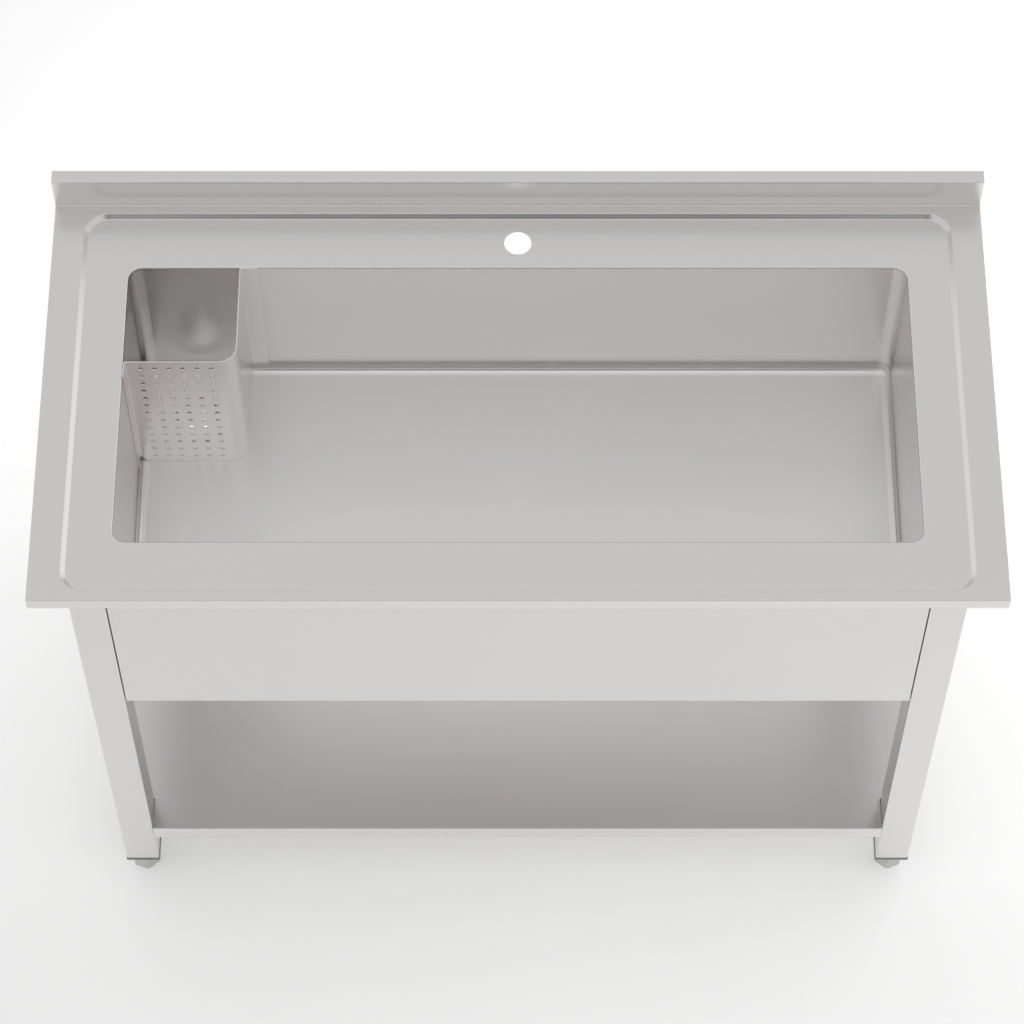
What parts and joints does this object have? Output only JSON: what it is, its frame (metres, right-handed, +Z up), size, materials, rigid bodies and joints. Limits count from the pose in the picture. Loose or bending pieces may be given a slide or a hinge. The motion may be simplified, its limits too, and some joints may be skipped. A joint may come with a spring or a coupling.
{
  "type": "commercial pot sink",
  "caption": "Free-standing stainless pot sink: long deep bowl in a folded worktop with rear upstand, perforated corner guard, square legs, aprons and undershelf.",
  "frame": {"origin": "on the floor under the middle of the worktop, feet screwed in", "axes": "+X to the right seen from the front, +Y to the back, towards the wall, +Z up"},
  "size_m": [1.2, 0.6, 0.877],
  "materials": {
    "stainless_worktop": "satin brushed stainless sheet",
    "stainless_bowl": "satin brushed stainless sheet",
    "stainless_panel": "satin brushed stainless sheet",
    "stainless_tube": "satin brushed stainless tube",
    "hidden_steel": "plain mill finish steel",
    "perforated_steel": "satin perforated stainless sheet",
    "waste_steel": "polished stainless",
    "seal_rubber": "matt black rubber",
    "nut_plastic": "white plastic",
    "cap_plastic": "dark grey plastic",
    "foot_steel": "satin stainless",
    "bolt_steel": "plain stainless"
  },
  "bodies": {
    "sink_frame": {"worktop": "stainless_worktop", "bowl": "stainless_bowl", "waste_body": "waste_steel", "waste_gasket": "seal_rubber", "waste_washer": "seal_rubber", "waste_nut": "nut_plastic", "front_deck_channel": "hidden_steel", "rear_left_deck_channel": "hidden_steel", "rear_right_deck_channel": "hidden_steel", "left_deck_channel": "hidden_steel", "right_deck_channel": "hidden_steel", "shelf_channel": "hidden_steel", "front_apron": "stainless_panel", "right_apron": "stainless_panel", "left_apron": "stainless_panel", "shelf": "stainless_panel", "socket_bolts": "bolt_steel", "shelf_bolts": "bolt_steel", "panel_screws": "bolt_steel", "front_left_leg": "stainless_tube", "front_left_leg_socket": "hidden_steel", "front_left_leg_cap": "cap_plastic", "front_right_leg": "stainless_tube", "front_right_leg_socket": "hidden_steel", "front_right_leg_cap": "cap_plastic", "rear_left_leg": "stainless_tube", "rear_left_leg_socket": "hidden_steel", "rear_left_leg_cap": "cap_plastic", "rear_right_leg": "stainless_tube", "rear_right_leg_socket": "hidden_steel", "rear_right_leg_cap": "cap_plastic"},
    "guard": {"corner_guard": "perforated_steel"},
    "front_left_foot_body": {"front_left_foot": "foot_steel"},
    "front_right_foot_body": {"front_right_foot": "foot_steel"},
    "rear_left_foot_body": {"rear_left_foot": "foot_steel"},
    "rear_right_foot_body": {"rear_right_foot": "foot_steel"}
  },
  "joints": [
    {"name": "guard_lift", "type": "slide", "parent": "sink_frame", "child": "guard", "axis": [0, 0, 1], "range_m": [0, 0.31]},
    {"name": "front_left_foot_height", "type": "slide", "parent": "sink_frame", "child": "front_left_foot_body", "axis": [0, 0, -1], "range_m": [0, 0.03]},
    {"name": "front_right_foot_height", "type": "slide", "parent": "sink_frame", "child": "front_right_foot_body", "axis": [0, 0, -1], "range_m": [0, 0.03]},
    {"name": "rear_left_foot_height", "type": "slide", "parent": "sink_frame", "child": "rear_left_foot_body", "axis": [0, 0, -1], "range_m": [0, 0.03]},
    {"name": "rear_right_foot_height", "type": "slide", "parent": "sink_frame", "child": "rear_right_foot_body", "axis": [0, 0, -1], "range_m": [0, 0.03]}
  ]
}
